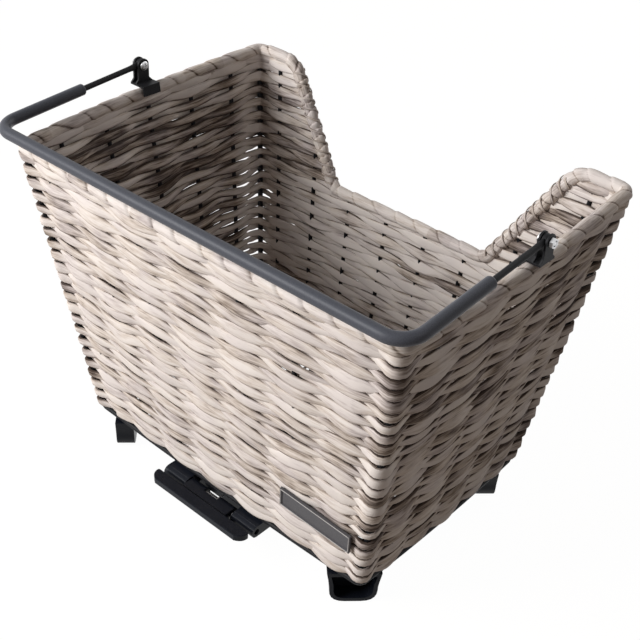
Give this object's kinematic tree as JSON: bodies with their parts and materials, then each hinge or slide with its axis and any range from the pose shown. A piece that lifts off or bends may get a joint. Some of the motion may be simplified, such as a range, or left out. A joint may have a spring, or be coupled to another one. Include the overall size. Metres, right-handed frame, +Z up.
{
  "type": "rear bicycle basket",
  "caption": "Woven carrier basket on a wire frame with a saddle cut-out, a folding carrying handle, moulded feet and a quick-release adapter for a luggage rack.",
  "frame": {"origin": "centre of the rack adapter's flat underside, where the basket sits on a luggage rack", "axes": "+Z up, +Y towards the saddle cut-out and the front of the bicycle, +X to the right along the long walls as seen from the release lever's side"},
  "size_m": [0.425, 0.2959, 0.3273],
  "materials": {
    "weave": "dry, mottled grey-beige rattan strand",
    "wire": "satin black coating on steel",
    "grip": "satin sleeve",
    "moulding": "satin injection moulding",
    "steel": "bright zinc-plated",
    "badge": "satin, bare"
  },
  "bodies": {
    "basket": {"woven_walls": "weave", "woven_floor": "weave", "rim_binding": "weave", "rim_wire": "wire", "base_ring": "wire", "clamp_plate": "wire", "near_stake_1": "wire", "near_stake_2": "wire", "near_stake_3": "wire", "near_stake_4": "wire", "near_stake_5": "wire", "near_stake_6": "wire", "near_stake_7": "wire", "far_stake_1": "wire", "far_stake_2": "wire", "far_stake_3": "wire", "far_stake_4": "wire", "far_stake_5": "wire", "far_stake_6": "wire", "far_stake_7": "wire", "far_stake_8": "wire", "corner_post_near_left": "wire", "corner_post_near_right": "wire", "corner_post_far_right": "wire", "corner_post_far_left": "wire", "side_hoop_1": "wire", "side_hoop_2": "wire", "side_hoop_3": "wire", "side_hoop_4": "wire", "side_hoop_5": "wire", "rack_adapter": "moulding", "lever_pin": "steel", "lever_spring": "steel", "adapter_screw_1": "steel", "adapter_screw_2": "steel", "adapter_screw_3": "steel", "adapter_screw_4": "steel", "foot_near_left": "moulding", "foot_near_right": "moulding", "foot_far_right": "moulding", "foot_far_left": "moulding", "foot_screw_near_left": "steel", "foot_screw_near_right": "steel", "foot_screw_far_right": "steel", "foot_screw_far_left": "steel", "bail_bracket_left": "wire", "bail_bracket_right": "wire", "pivot_screw_left": "steel", "pivot_screw_right": "steel", "pivot_nut_left": "steel", "pivot_nut_right": "steel", "badge_plate": "badge"},
    "bail": {"bail_rod": "wire", "bail_grip": "grip"},
    "lever": {"release_lever": "moulding"}
  },
  "joints": [
    {"name": "bail_swing", "type": "hinge", "parent": "basket", "child": "bail", "pos_m": [0, 0, 0.3015], "axis": [-1, 0, 0], "range_deg": [0, 185]},
    {"name": "lever_hinge", "type": "hinge", "parent": "basket", "child": "lever", "pos_m": [0, -0.114, 0.0055], "axis": [-1, 0, 0], "range_deg": [0, 20], "stiffness_Nm_per_rad": 0.3, "springref_deg": -20.05, "deforming": ["lever_spring"]}
  ]
}
